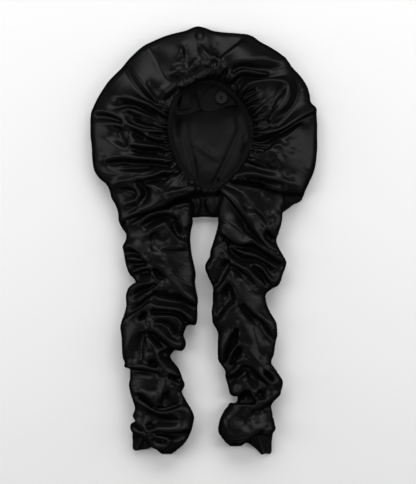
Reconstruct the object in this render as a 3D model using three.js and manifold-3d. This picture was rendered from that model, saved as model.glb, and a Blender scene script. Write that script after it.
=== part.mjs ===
// A black satin sleep bonnet with two long ruched sleeves for braids, lying on its back with the
// face opening up. Millimetres, +Z up: the crown lies towards +Y and the sleeves run to -Y.
// The origin is on the surface that the bonnet lies on, below the middle of its outline.
import * as THREE from "three";
import Module from "manifold-3d";

const wasm = await Module();
wasm.setup();

// Driving dimensions
const CLOTH = 2; // two layers of satin, seamed together
const GAP = 0.4; // between pieces that are sewn to each other
const DEG = Math.PI / 180;

const CAP = {
  centre: { x: 0, y: 178 },
  crest: 50, // height of the puffed ring
  lieFlat: 0.93, // share of the outline's reach where the underside meets the floor
  innerFloor: 0.45, // the same for the ring that the underside is closed round
  foldSteps: 4, // points round the cap for each gather
};
const OPENING = { centre: { x: 7, y: 160 }, rimHeight: 31 };
const BAND = { width: 7.5, thick: 2.2, dip: 3, steps: 60 };
const FLAP = {
  height: 21,
  thick: 2,
  inset: 2.2, // from the opening's edge
  from: 32, // degrees round the opening
  to: 134,
  step: 6,
  lowEdge: { y: 201, slope: 0.067, narrowing: 0.86 },
  leastDepth: 6,
};
const BUTTON = {
  at: { x: 24.5, y: 214 },
  radius: 8.8,
  sides: 28,
  thick: 3.2,
  edge: 0.8, // its rounded corners
  rim: 1.4,
  dish: 1.1,
  dishSlope: 1,
  holeRadius: 1.1,
  holeSpread: 2.1,
  holeSides: 10,
  shank: 1.6,
};
const THREAD = { radius: 0.7, sides: 8, sunk: 0.1, postRadius: 3.1, postSides: 14 };
const SLEEVE = {
  around: 22,
  mouthTop: 58, // how far the sleeve reaches into the cap, in Y
  straightTo: 30, // below this it follows its folds
  cutTo: 6, // the lowest Y at which the cap is open for it
  sideHeight: 0.34, // share of the section's height where it is widest
  sideRound: 0.8, // under 1 is fuller than an ellipse
  topRound: 0.75,
  underside: 2.2, // how steeply the sides come down to the floor
  seamDepth: 8, // how deep the gathering seam pulls the cloth in
  seamWidth: 0.22, // of half the sleeve's width
  chevronDrop: 17, // how far a fold falls from the seam to the side
  seamStart: 3, // rows over which the seam's pull begins at the mouth
  seamEnd: 5, // and dies out at the far end
};
const FRILL = {
  around: 24,
  wall: 1.6,
  flutes: 6,
  fluteWide: 1.3,
  fluteHigh: 1,
  neckHalf: 6.5,
  neckHeight: 18,
  hemHeight: 22,
  hemDip: 2.5, // how much further the middle of the hem reaches than its sides
};

// Outline of the cap round its centre, every 15 degrees from +X
const CAP_OUTLINE = [
  170, 166, 161, 152, 148, 142, 143, 139, 141, 148, 154, 161,
  169, 174, 178, 174, 158, 149, 143, 146, 157, 180, 182, 175,
].map((reach, i) => ({ angle: i * 15, reach }));

// Edge of the face opening round its own centre, every 30 degrees from +X
const OPENING_OUTLINE = [
  68, 68, 74, 83, 82, 71, 64, 64, 73, 84, 73, 66,
].map((reach, i) => ({ angle: i * 30, reach }));

// Section of the cap's cloth, from the opening's edge to the floor: out is the share of the way
// from that edge to the outline, and up is the share of the crest's height
const CAP_SECTION = [
  { out: 0.0, up: 0.6, ruffle: 0.35 },
  { out: 0.07, up: 0.74, ruffle: 1.0 },
  { out: 0.2, up: 0.89, ruffle: 1.0 },
  { out: 0.42, up: 0.98, ruffle: 0.8 },
  { out: 0.66, up: 0.96, ruffle: 0.55 },
  { out: 0.85, up: 0.78, ruffle: 0.4 },
  { out: 0.96, up: 0.5, ruffle: 0.3 },
  { out: 1.0, up: 0.24, ruffle: 0.2 },
  { out: 0.985, up: 0.06, ruffle: 0.05 },
];

// The cap's main gathers: where each crest stands round the opening, and how high it rises
const GATHERS = [
  { angle: 8, rise: 4.0 }, { angle: 24, rise: 5.5 }, { angle: 38, rise: 4.5 },
  { angle: 51, rise: 5.0 }, { angle: 64, rise: 4.5 }, { angle: 77, rise: 4.0 },
  { angle: 90, rise: 3.5 }, { angle: 103, rise: 5.0 }, { angle: 117, rise: 4.5 },
  { angle: 133, rise: 3.5 }, { angle: 148, rise: 5.0 }, { angle: 160, rise: 4.5 },
  { angle: 171, rise: 5.0 }, { angle: 182, rise: 4.5 }, { angle: 194, rise: 5.5 },
  { angle: 207, rise: 5.0 }, { angle: 222, rise: 4.0 }, { angle: 240, rise: 3.5 },
  { angle: 262, rise: 2.0 }, { angle: 284, rise: 2.5 }, { angle: 304, rise: 4.5 },
  { angle: 322, rise: 5.5 }, { angle: 337, rise: 5.0 }, { angle: 352, rise: 4.5 },
];

// Sections of each sleeve, from its mouth down: y where the row meets the outline, the outline's
// left and right edges there, and the height of the cloth. Folds and the dips between them alternate.
const LEFT_ROWS = [
  { y: 26, left: -131, right: -24, up: 41 },
  { y: 6, left: -117, right: -24, up: 29 },
  { y: -16, left: -120, right: -21, up: 43 },
  { y: -38, left: -119, right: -16, up: 30 },
  { y: -50, left: -113, right: -14, up: 42 },
  { y: -62, left: -103, right: -15, up: 27 },
  { y: -82, left: -116, right: -12, up: 42 },
  { y: -100, left: -118, right: -12, up: 28 },
  { y: -120, left: -123, right: -15, up: 41 },
  { y: -138, left: -124, right: -34, up: 27 },
  { y: -156, left: -123, right: -33, up: 40 },
  { y: -174, left: -119, right: -47, up: 27 },
  { y: -192, left: -116, right: -39, up: 39 },
  { y: -206, left: -114, right: -38, up: 27 },
  { y: -216, left: -114, right: -31, up: 38 },
  { y: -230, left: -113, right: -38, up: 26 },
  { y: -250, left: -105, right: -24, up: 41 },
  { y: -268, left: -106, right: -18, up: 34 },
  { y: -284, left: -107, right: -18, up: 38 },
  { y: -291, left: -86, right: -21, up: 33 },
  { y: -305, left: -79, right: -29, up: 29 },
  { y: -316, left: -71, right: -41, up: 20 },
  { y: -322.5, left: -63, right: -50, up: 9 },
];
const RIGHT_ROWS = [
  { y: 26, left: 19, right: 116, up: 41 },
  { y: 0, left: 14, right: 108, up: 29 },
  { y: -22, left: 8, right: 116, up: 42 },
  { y: -40, left: 5, right: 119, up: 32 },
  { y: -58, left: 9, right: 111, up: 42 },
  { y: -74, left: 15, right: 94, up: 27 },
  { y: -92, left: 11, right: 92, up: 41 },
  { y: -106, left: 9, right: 97, up: 29 },
  { y: -122, left: 11, right: 105, up: 41 },
  { y: -136, left: 20, right: 107, up: 28 },
  { y: -152, left: 20, right: 106, up: 40 },
  { y: -168, left: 22, right: 103, up: 27 },
  { y: -184, left: 26, right: 99, up: 39 },
  { y: -196, left: 33, right: 108, up: 27 },
  { y: -212, left: 35, right: 115, up: 38 },
  { y: -226, left: 40, right: 108, up: 26 },
  { y: -240, left: 45, right: 103, up: 31 },
  { y: -256, left: 31, right: 101, up: 40 },
  { y: -272, left: 22, right: 101, up: 38 },
  { y: -283, left: 20, right: 80, up: 35 },
  { y: -294, left: 24, right: 67, up: 30 },
  { y: -304, left: 33, right: 59, up: 20 },
  { y: -309, left: 40, right: 53, up: 9 },
];
// The hem past each sleeve's elastic: where its neck lies, which way it points and how far, and
// half its width at the hem
const LEFT_FRILL = { neck: { x: -93.5, y: -292.5 }, turn: 181, length: 20, hemHalf: 13.5 };
const RIGHT_FRILL = { neck: { x: 89.5, y: -284 }, turn: 187, length: 35, hemHalf: 16.5 };

// Materials
const satin = new THREE.MeshStandardMaterial({ color: 0x16161a, roughness: 0.34, metalness: 0 });
const elastic = new THREE.MeshStandardMaterial({ color: 0x141416, roughness: 0.72, metalness: 0 });
const plastic = new THREE.MeshStandardMaterial({ color: 0x1c1c1e, roughness: 0.38, metalness: 0 });

// A closed solid from rings of points. Each ring has the same number of points; a cycle joins the
// last ring to the first, and otherwise both ends close on the middle of their ring.
function solidFromRings(rings, cycle = false) {
  const count = rings[0].length;
  const points = rings.flat();
  const faces = [];
  const joins = cycle ? rings.length : rings.length - 1;
  for (let r = 0; r < joins; r++) {
    const a = r * count;
    const b = ((r + 1) % rings.length) * count;
    for (let i = 0; i < count; i++) {
      const next = (i + 1) % count;
      faces.push([a + i, b + i, b + next], [a + i, b + next, a + next]);
    }
  }
  if (!cycle) {
    for (const [ring, start, first] of [[rings[0], 0, true], [rings.at(-1), joins * count, false]]) {
      const middle = ring.reduce((sum, p) => sum.add(p), new THREE.Vector3()).divideScalar(count);
      const hub = points.push(middle) - 1;
      for (let i = 0; i < count; i++) {
        const next = (i + 1) % count;
        faces.push(first ? [hub, start + i, start + next] : [hub, start + next, start + i]);
      }
    }
  }
  return facingOut(points, faces);
}

// Faces turned so that the volume they enclose is positive
function facingOut(points, faces) {
  const volume = faces.reduce(
    (sum, [a, b, c]) => sum + points[a].dot(points[b].clone().cross(points[c])), 0);
  const turned = volume < 0 ? faces.map(([a, b, c]) => [a, c, b]) : faces;
  const geometry = new THREE.BufferGeometry().setFromPoints(points);
  geometry.setIndex(turned.flat());
  return geometry;
}

function toManifold(geometry) {
  return new wasm.Manifold(new wasm.Mesh({
    numProp: 3,
    vertProperties: new Float32Array(geometry.getAttribute("position").array),
    triVerts: new Uint32Array(geometry.index.array),
  }));
}

function toGeometry(solid) {
  const mesh = solid.getMesh();
  const geometry = new THREE.BufferGeometry();
  geometry.setAttribute("position", new THREE.BufferAttribute(mesh.vertProperties, 3));
  geometry.setIndex(new THREE.BufferAttribute(mesh.triVerts, 1));
  return geometry;
}

// A smooth closed curve through a table of reaches at even angles round a centre
function outlineCurve(centre, rows) {
  const points = rows.map(({ angle, reach }) => new THREE.Vector3(
    centre.x + reach * Math.cos(angle * DEG), centre.y + reach * Math.sin(angle * DEG), 0));
  const curve = new THREE.CatmullRomCurve3(points, true);
  return (angle) => curve.getPoint((((angle / 360) % 1) + 1) % 1);
}

const capEdge = outlineCurve(CAP.centre, CAP_OUTLINE);
const openingEdge = outlineCurve(OPENING.centre, OPENING_OUTLINE);

// Angles round the cap: evenly spaced steps from each gather's crest to the next, with the cloth's
// rise there, highest on a crest and lowest in the dip between two
function gatherSteps() {
  const steps = [];
  GATHERS.forEach((gather, i) => {
    const next = GATHERS[(i + 1) % GATHERS.length];
    const span = (next.angle - gather.angle + 360) % 360;
    for (let k = 0; k < CAP.foldSteps; k++) {
      const share = k / CAP.foldSteps;
      const rise = THREE.MathUtils.lerp(gather.rise, next.rise, share);
      steps.push({ angle: gather.angle + span * share, lift: rise * Math.cos(2 * Math.PI * share) });
    }
  });
  return steps;
}

// A ring of the cap's cloth at one row of its section, moved by depth along the cloth's inner normal
function capRing(steps, index, depth) {
  const row = CAP_SECTION[index];
  const before = CAP_SECTION[Math.max(index - 1, 0)];
  const after = CAP_SECTION[Math.min(index + 1, CAP_SECTION.length - 1)];
  return steps.map(({ angle, lift }) => {
    const inner = openingEdge(angle);
    const outer = capEdge(angle);
    const run = (after.out - before.out) * inner.distanceTo(outer);
    const slope = new THREE.Vector2(run, (after.up - before.up) * CAP.crest).normalize();
    const point = inner.clone().lerp(outer, row.out);
    point.addScaledVector(outer.sub(inner).normalize(), slope.y * depth);
    point.z = row.up * CAP.crest + lift * row.ruffle - slope.x * depth;
    return point;
  });
}

// A ring of the underside, a share of the way from the middle of the cap to its outline
function floorRing(steps, share, height) {
  return steps.map(({ angle }) => {
    const middle = new THREE.Vector3(CAP.centre.x, CAP.centre.y, 0);
    const point = middle.lerp(capEdge(angle), share);
    point.z = height;
    return point;
  });
}

// The underside's two closing rings and the flat between them, from the middle outwards
function capFloor(steps, height) {
  const inset = height / CAP_OUTLINE[0].reach;
  return [CAP.innerFloor, CAP.lieFlat - inset].map((share) => floorRing(steps, share, height));
}

function capShell() {
  const steps = gatherSteps();
  const outside = CAP_SECTION.map((row, i) => capRing(steps, i, 0));
  const inside = CAP_SECTION.map((row, i) => capRing(steps, i, CLOTH));
  return solidFromRings([
    ...capFloor(steps, 0),
    ...outside.reverse(),
    ...inside,
    ...capFloor(steps, CLOTH).reverse(),
  ]);
}

// One section of a sleeve, flat where it lies on the floor: x and z at a point round it, from 0
// at the right edge over the top to 0.5 at the left edge and back below
function sleeveSection(row, share, inset) {
  const halfWidth = (row.right - row.left) / 2 - inset;
  const middle = (row.right + row.left) / 2;
  const c = Math.cos(share * 2 * Math.PI);
  const s = Math.sin(share * 2 * Math.PI);
  const aside = Math.sign(c) * Math.abs(c) ** SLEEVE.sideRound;
  const side = row.up * SLEEVE.sideHeight;
  const seamDip = SLEEVE.seamDepth * row.seam * Math.exp(-((aside / SLEEVE.seamWidth) ** 2));
  const top = side + (row.up - inset - side) * Math.abs(s) ** SLEEVE.topRound - seamDip;
  const below = side - (side - inset) * Math.min(1, Math.abs(s) * SLEEVE.underside);
  return { x: middle + halfWidth * aside, z: s >= 0 ? top : below, fromSeam: Math.abs(aside) };
}

function sleeveRing(row, inset) {
  return Array.from({ length: SLEEVE.around }, (_, i) => {
    const share = i / SLEEVE.around;
    const { x, z, fromSeam } = sleeveSection(row, share, inset);
    const fallen = share <= 0.5 ? fromSeam : 1;
    return new THREE.Vector3(x, row.y + SLEEVE.chevronDrop * row.seam * (1 - fallen), z);
  });
}

// How strongly the seam gathers the cloth at each row: not at the mouth, and less at the far end
function gathered(rows) {
  const mouth = { ...rows[0], seam: 0 };
  const folds = rows.map((row, i) => ({
    ...row,
    seam: Math.min(1, i / SLEEVE.seamStart, (rows.length - 1 - i) / SLEEVE.seamEnd),
  }));
  return [{ ...mouth, y: SLEEVE.mouthTop }, { ...mouth, y: SLEEVE.straightTo }, ...folds.slice(1)];
}

function sleeveShell(rows) {
  const sections = gathered(rows);
  const outside = sections.map((row) => sleeveRing(row, 0));
  const inside = sections.slice(0, -1).map((row) => sleeveRing(row, CLOTH));
  return solidFromRings([...outside.reverse(), ...inside]);
}

// What the cap loses for a sleeve's mouth: the sleeve's own section, a gap wider, right through
function mouthCutter(rows) {
  const mouth = { ...rows[0], seam: 0 };
  const ends = [SLEEVE.mouthTop + GAP, SLEEVE.cutTo];
  return solidFromRings(ends.map((y) => sleeveRing({ ...mouth, y }, -GAP)));
}

function cutCap() {
  return toGeometry(toManifold(capShell())
    .subtract(toManifold(mouthCutter(LEFT_ROWS)))
    .subtract(toManifold(mouthCutter(RIGHT_ROWS))));
}

// A point on the opening's edge and the direction from it to the opening's middle
function openingPoint(angle) {
  const edge = openingEdge(angle);
  const inward = new THREE.Vector3(OPENING.centre.x, OPENING.centre.y, 0).sub(edge).normalize();
  return { edge, inward };
}

function bandRing() {
  const corners = [
    [GAP, 0], [BAND.width, -BAND.dip], [BAND.width, -BAND.dip - BAND.thick], [GAP, -BAND.thick],
  ];
  const rings = corners.map(([inset, rise]) => Array.from({ length: BAND.steps }, (_, i) => {
    const { edge, inward } = openingPoint((i * 360) / BAND.steps);
    const point = edge.addScaledVector(inward, inset);
    point.z = OPENING.rimHeight + rise;
    return point;
  }));
  return solidFromRings(rings, true);
}

// A crescent of plain cloth inside the top of the opening, which the button is sewn to
function buttonFlap() {
  const { lowEdge, height, thick } = FLAP;
  const sections = [];
  for (let angle = FLAP.from; angle <= FLAP.to; angle += FLAP.step) {
    const { edge, inward } = openingPoint(angle);
    const high = edge.addScaledVector(inward, FLAP.inset);
    const aside = high.x - OPENING.centre.x;
    const lowX = OPENING.centre.x + aside * lowEdge.narrowing;
    const lowY = Math.min(lowEdge.y + lowEdge.slope * aside, high.y - FLAP.leastDepth);
    sections.push([
      new THREE.Vector3(high.x, high.y, height),
      new THREE.Vector3(high.x, high.y, height + thick),
      new THREE.Vector3(lowX, lowY, height + thick),
      new THREE.Vector3(lowX, lowY, height),
    ]);
  }
  return solidFromRings(sections);
}

// Cylinders and lathes repeat the points along their seams, so those are joined before a cut
function mergedByPlace(geometry) {
  const position = geometry.getAttribute("position");
  const seen = new Map();
  const points = [];
  const place = [];
  for (let i = 0; i < position.count; i++) {
    const point = new THREE.Vector3().fromBufferAttribute(position, i);
    const key = point.toArray().map((v) => v.toFixed(4)).join();
    if (!seen.has(key)) seen.set(key, points.push(point) - 1);
    place.push(seen.get(key));
  }
  const faces = [];
  for (let i = 0; i < geometry.index.count; i += 3) {
    const face = [0, 1, 2].map((k) => place[geometry.index.getX(i + k)]);
    if (new Set(face).size === 3) faces.push(face);
  }
  return facingOut(points, faces);
}

// A round shape stood up along Z at a place
function upright(geometry, at, height) {
  return toManifold(mergedByPlace(geometry.rotateX(Math.PI / 2).translate(at.x, at.y, height)));
}

function holeCentres() {
  return [45, 135, 225, 315].map((turn) => ({
    x: BUTTON.at.x + BUTTON.holeSpread * Math.cos(turn * DEG),
    y: BUTTON.at.y + BUTTON.holeSpread * Math.sin(turn * DEG),
  }));
}

const buttonBottom = FLAP.height + FLAP.thick + BUTTON.shank;

function buttonDisc() {
  const { radius, thick, edge, rim, dish, dishSlope, at, holeRadius, holeSides } = BUTTON;
  const floorHeight = thick - dish;
  const profile = [
    [0, 0], [radius - edge, 0], [radius, edge], [radius, thick - edge], [radius - edge, thick],
    [radius - edge - rim, thick], [radius - edge - rim - dishSlope, floorHeight], [0, floorHeight],
  ].map(([r, z]) => new THREE.Vector2(r, z));
  let disc = upright(new THREE.LatheGeometry(profile, BUTTON.sides), at, buttonBottom);
  for (const hole of holeCentres()) {
    const drill = new THREE.CylinderGeometry(holeRadius, holeRadius, thick * 3, holeSides);
    disc = disc.subtract(upright(drill, hole, buttonBottom));
  }
  return toGeometry(disc);
}

// Two stitches through the button's holes, wound into a shank below it
function buttonThread() {
  const { radius, sides, sunk, postRadius, postSides } = THREAD;
  const bottom = FLAP.height + FLAP.thick + GAP;
  const postHeight = buttonBottom - GAP - bottom;
  const stitchTop = buttonBottom + BUTTON.thick - BUTTON.dish + GAP + 2 * radius;
  const post = new THREE.CylinderGeometry(postRadius, postRadius, postHeight, postSides);
  let stitches = upright(post, BUTTON.at, bottom + postHeight / 2);
  const legHeight = stitchTop - bottom - 2 * sunk;
  for (const hole of holeCentres()) {
    const leg = new THREE.CylinderGeometry(radius, radius, legHeight, sides);
    stitches = stitches.add(upright(leg, hole, bottom + sunk + legHeight / 2));
  }
  const apart = BUTTON.holeSpread * Math.SQRT2;
  for (const side of [-1, 1]) {
    const bar = new THREE.BoxGeometry(2 * radius, apart + radius, 2 * radius);
    bar.translate(BUTTON.at.x + (side * apart) / 2, BUTTON.at.y, stitchTop - radius);
    stitches = stitches.add(toManifold(mergedByPlace(bar)));
  }
  return toGeometry(stitches);
}

// One section of a frill, flat below: share is 0 at its neck and 1 at its hem
function frillRing({ neck, turn, length, hemHalf }, share, inset) {
  const down = new THREE.Vector2(Math.sin(turn * DEG), Math.cos(turn * DEG));
  const across = new THREE.Vector2(-down.y, down.x);
  return Array.from({ length: FRILL.around }, (_, i) => {
    const a = (i / FRILL.around) * 2 * Math.PI;
    const flute = share * Math.cos(FRILL.flutes * a);
    const half = THREE.MathUtils.lerp(FRILL.neckHalf, hemHalf, share) + FRILL.fluteWide * flute;
    const top = THREE.MathUtils.lerp(FRILL.neckHeight, FRILL.hemHeight, share) + FRILL.fluteHigh * flute;
    const side = top / 2;
    const rise = Math.sin(a) >= 0 ? top - inset - side : side - inset;
    const aside = (half - inset) * Math.cos(a);
    const along = share * (length - FRILL.hemDip * Math.abs(Math.cos(a)));
    return new THREE.Vector3(
      neck.x + down.x * along + across.x * aside,
      neck.y + down.y * along + across.y * aside,
      side + rise * Math.max(-1, Math.sin(a) * (Math.sin(a) < 0 ? SLEEVE.underside : 1)));
  });
}

// The hem past a sleeve's elastic: a short fluted skirt lying on its side, open at both ends
function frillShell(frill) {
  const shares = [0, 0.5, 1];
  const outside = shares.map((share) => frillRing(frill, share, 0));
  const inside = shares.map((share) => frillRing(frill, share, FRILL.wall));
  return solidFromRings([...outside.reverse(), ...inside], true);
}

const bonnet = new THREE.Group();
function addPiece(name, geometry, material) {
  const mesh = new THREE.Mesh(geometry, material);
  mesh.name = name;
  bonnet.add(mesh);
}

addPiece("cap", cutCap(), satin);
addPiece("face_band", bandRing(), elastic);
addPiece("button_flap", buttonFlap(), elastic);
addPiece("button", buttonDisc(), plastic);
addPiece("button_thread", buttonThread(), elastic);
addPiece("sleeve_left", sleeveShell(LEFT_ROWS), satin);
addPiece("sleeve_right", sleeveShell(RIGHT_ROWS), satin);
addPiece("end_frill_left", frillShell(LEFT_FRILL), satin);
addPiece("end_frill_right", frillShell(RIGHT_FRILL), satin);

export default bonnet;
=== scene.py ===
# A black satin sleep bonnet with two long ruched sleeves for braids, laid on its back with the face
# opening up. Tables are in millimetres in the part's own frame, and meshes are made in metres.
import math
import time

import bpy
import numpy as np
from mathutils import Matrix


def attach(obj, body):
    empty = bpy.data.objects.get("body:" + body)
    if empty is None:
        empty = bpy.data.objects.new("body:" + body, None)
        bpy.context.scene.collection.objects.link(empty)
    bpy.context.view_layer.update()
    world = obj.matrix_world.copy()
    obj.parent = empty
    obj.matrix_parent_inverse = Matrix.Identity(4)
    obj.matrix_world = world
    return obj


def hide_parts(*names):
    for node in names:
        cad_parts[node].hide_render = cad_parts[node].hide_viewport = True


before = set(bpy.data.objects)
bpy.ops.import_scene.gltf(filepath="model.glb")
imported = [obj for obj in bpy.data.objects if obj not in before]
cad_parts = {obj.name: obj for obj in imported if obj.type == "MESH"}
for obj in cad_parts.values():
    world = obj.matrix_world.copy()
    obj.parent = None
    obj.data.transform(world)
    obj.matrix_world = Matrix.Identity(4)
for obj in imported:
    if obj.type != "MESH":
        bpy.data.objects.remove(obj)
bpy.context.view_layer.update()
mm = 0.001
tiny = 1e-9  # keeps a division clear of nought
started = time.time()


def report(stage):
    print(f"{stage}: {time.time() - started:.1f} s", flush=True)


# Curves and grids

# A smooth line through a table: between two of its places it is the cubic whose end slopes are the
# table's own slopes there. With a period the table closes on itself
def through(at, places, values, period=None):
    places = np.asarray(places, float)
    values = np.asarray(values, float)
    if period:
        at = places[0] + (at - places[0]) % period
        places = np.concatenate([places[-2:] - period, places, places[:2] + period])
        values = np.concatenate([values[-2:], values, values[:2]])
    slope = np.gradient(values, places)
    left = np.clip(np.searchsorted(places, at, "right") - 1, 0, len(places) - 2)
    width = places[left + 1] - places[left]
    t = np.clip((at - places[left]) / width, 0, 1)
    start = (2 * t**3 - 3 * t**2 + 1) * values[left] + (t**3 - 2 * t**2 + t) * width * slope[left]
    end = (3 * t**2 - 2 * t**3) * values[left + 1] + (t**3 - t**2) * width * slope[left + 1]
    return start + end


# The same share from 0 to 1 between two limits, with level ends: three squares less two cubes
def easeIn(value, low, high):
    t = np.clip((value - low) / (high - low), 0, 1)
    return t * t * (3 - 2 * t)


# Evenly spaced points along a smooth line through its corners. A power over 1 packs them towards
# its start
def alongProfile(corners, count, power=1.0):
    corners = np.asarray(corners, float)
    reach = np.concatenate([[0], np.cumsum(np.linalg.norm(np.diff(corners, axis=0), axis=1))])
    at = np.linspace(0, 1, count) ** power * reach[-1]
    return np.stack([through(at, reach, corners[:, k]) for k in range(corners.shape[1])], -1)


# A weighted mean of each point and its neighbours, a quarter, a half and a quarter. Columns go round
def soften(grid, times):
    for _ in range(times):
        grid = 0.25 * np.roll(grid, 1, 1) + 0.5 * grid + 0.25 * np.roll(grid, -1, 1)
        middle = 0.25 * grid[:-2] + 0.5 * grid[1:-1] + 0.25 * grid[2:]
        grid = np.concatenate([grid[:1], middle, grid[-1:]])
    return grid


# Which way the surface faces: the cross product of the steps along a column and round a row
def facing(grid):
    across = np.roll(grid, -1, 1) - np.roll(grid, 1, 1)
    down = np.gradient(grid, axis=0)
    normal = np.cross(across, down)
    return normal / (np.linalg.norm(normal, axis=-1, keepdims=True) + tiny)


# The same, turned over where it has to be to point up at a row of the first column
def facingUp(grid, row):
    normal = facing(grid)
    return normal * np.sign(normal[row, 0, 2])


# Length of the step from each point to the next one round its row
def stepRound(grid):
    return np.linalg.norm(np.roll(grid, -1, 1) - grid, axis=-1)


# Length of the step from each row to the next
def stepDown(grid):
    return np.linalg.norm(np.diff(grid, axis=0), axis=-1)


# Unit steps in plan, each its own turn from +X: cosine and sine
def spokes(turn):
    return np.stack([np.cos(turn), np.sin(turn)], -1)


# Evenly spaced turns of one whole circle
def circle(count):
    return 2 * np.pi * np.arange(count) / count


# Places from nought to the whole, the given uneven steps apart
def unevenMarks(steps, whole=1):
    marks = np.cumsum(steps)
    return np.concatenate([[0], marks / marks[-1] * whole])


# A wave's turn at each place: one circle from each mark to the next
def waveTurn(at, marks):
    return np.interp(at, marks, np.arange(len(marks)) * 2 * np.pi)


# Folds

skin = {
    "core": 1.7,  # half width of a fold's crest
    "hold": 3.0,  # how firmly the cloth keeps to a fold line
    "reach": 26.0,  # a fold's effect dies out over this
    "passes": 260,
    "margin": 9.0,  # beyond this a line pulls no more
    "first": (0.6, 1.6),  # share of a fold's height at its first point, and how fast it rises
    "last": (0.45, 1.9),  # the same from its last point
}


# A polyline with its corners cut twice, which keeps its ends
def rounded(line):
    line = np.asarray(line, float)
    for _ in range(2):
        near = line[:-1] * 0.75 + line[1:] * 0.25
        far = line[:-1] * 0.25 + line[1:] * 0.75
        between = np.stack([near, far], 1).reshape(-1, 2)[1:-1]
        line = np.concatenate([line[:1], between, line[-1:]])
    return line


# Distance from each point to a polyline, and the share of its length at the nearest place
def nearestOnLine(points, line):
    start = line[:-1]
    step = line[1:] - start
    away = points[:, None, :] - start
    t = np.clip((away * step).sum(-1) / (step**2).sum(1), 0, 1)
    distance = np.linalg.norm(away - t[..., None] * step, axis=-1)
    k = distance.argmin(1)
    each = np.arange(len(points))
    length = np.linalg.norm(step, axis=1)
    passed = np.concatenate([[0], np.cumsum(length)[:-1]])
    return distance[each, k], (passed[k] + t[each, k] * length[k]) / length.sum()


# The height that the fold lines ask for at each point, and how firmly: each line pulls by a bell
# curve of the distance to it, and is lower at both its ends
def foldTargets(grid, folds, where=None):
    flat = grid[..., :2].reshape(-1, 2)
    firm = np.full(len(flat), tiny)
    wanted = np.zeros(len(flat))
    allowed = np.ones(len(flat), bool) if where is None else where.ravel()
    for high, *line in folds:
        line = rounded(line)
        low, top = line.min(0) - skin["margin"], line.max(0) + skin["margin"]
        near = np.flatnonzero(allowed & ((flat > low) & (flat < top)).all(1))
        if not len(near):
            continue
        distance, along = nearestOnLine(flat[near], line)
        first = skin["first"][0] + skin["first"][1] * along
        last = skin["last"][0] + skin["last"][1] * (1 - along)
        ends = np.minimum(1, first) * np.minimum(1, last)
        firmness = np.exp(-((distance / skin["core"]) ** 2))
        wanted[near] += firmness * high * ends
        firm[near] += firmness
    shape = grid.shape[:2]
    return (wanted / firm).reshape(shape), np.minimum(firm, 1).reshape(shape)


# Height of a skin stretched over the fold lines: every point becomes the mean of its neighbours,
# of what the lines ask for and of nothing, weighted by nearness, firmness and the reach. Both end
# rows stay level unless it is loose, and its columns go round
def stretchSkin(grid, wanted, firm, loose=False, reach=skin["reach"]):
    round2 = 1 / stepRound(grid) ** 2
    down = stepDown(grid)
    down2 = 1 / np.concatenate([down, down[-1:]]) ** 2
    hold = firm * skin["hold"]
    total = 2 * round2 + 2 * down2 + hold + 1 / reach**2
    high = wanted * firm
    for _ in range(skin["passes"]):
        rows = np.concatenate([high[:1], high[:-1]]) + np.concatenate([high[1:], high[-1:]])
        columns = np.roll(high, 1, 1) + np.roll(high, -1, 1)
        high = (round2 * columns + down2 * rows + hold * wanted) / total
        if not loose:
            high[0] = 0
            high[-1] = 0
    return high


# Heights of puffs: each is a low bell on its own ellipse in plan, and the highest one counts
def puffHeights(grid, puffs):
    high = np.zeros(grid.shape[:2])
    for x, y, long, wide, turn, up in puffs:
        c, s = math.cos(math.radians(turn)), math.sin(math.radians(turn))
        aside = grid[..., :2] - np.array([x, y])
        out = np.hypot(aside @ np.array([c, s]) / long, aside @ np.array([-s, c]) / wide)
        high = np.maximum(high, up * np.maximum(0, 1 - out**2) ** 2)
    return high


# Cloth

cloth = {
    "inner": 3,  # rounds of pulling to a step
    "gravity": 0.01,
    "stretch": 0.9,
    "shear": 0.12,
    "bend": 0.15,
    "drag": 0.9,  # share of its speed that the cloth keeps
    "fastest": 2,
    "floor": 0.6,  # lowest height of the cloth's middle
}


# Index pairs that lie the same number of steps apart, in two groups that share no point
def threadPairs(count, step, closed):
    index = np.arange(count if closed else count - step)
    groups = [index[index // step % 2 == k] for k in (0, 1)]
    return [(group, (group + step) % count) for group in groups]


# Moves both ends of every thread along it, by their freedom, until it has its rest length
def pullThreads(a, b, rest, stiff, freeA, freeB):
    apart = b - a
    length = np.sqrt((apart**2).sum(-1)) + tiny
    change = (stiff * (length - rest) / (length * (freeA + freeB + tiny)))[..., None] * apart
    return a + change * freeA[..., None], b - change * freeB[..., None]


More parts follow.
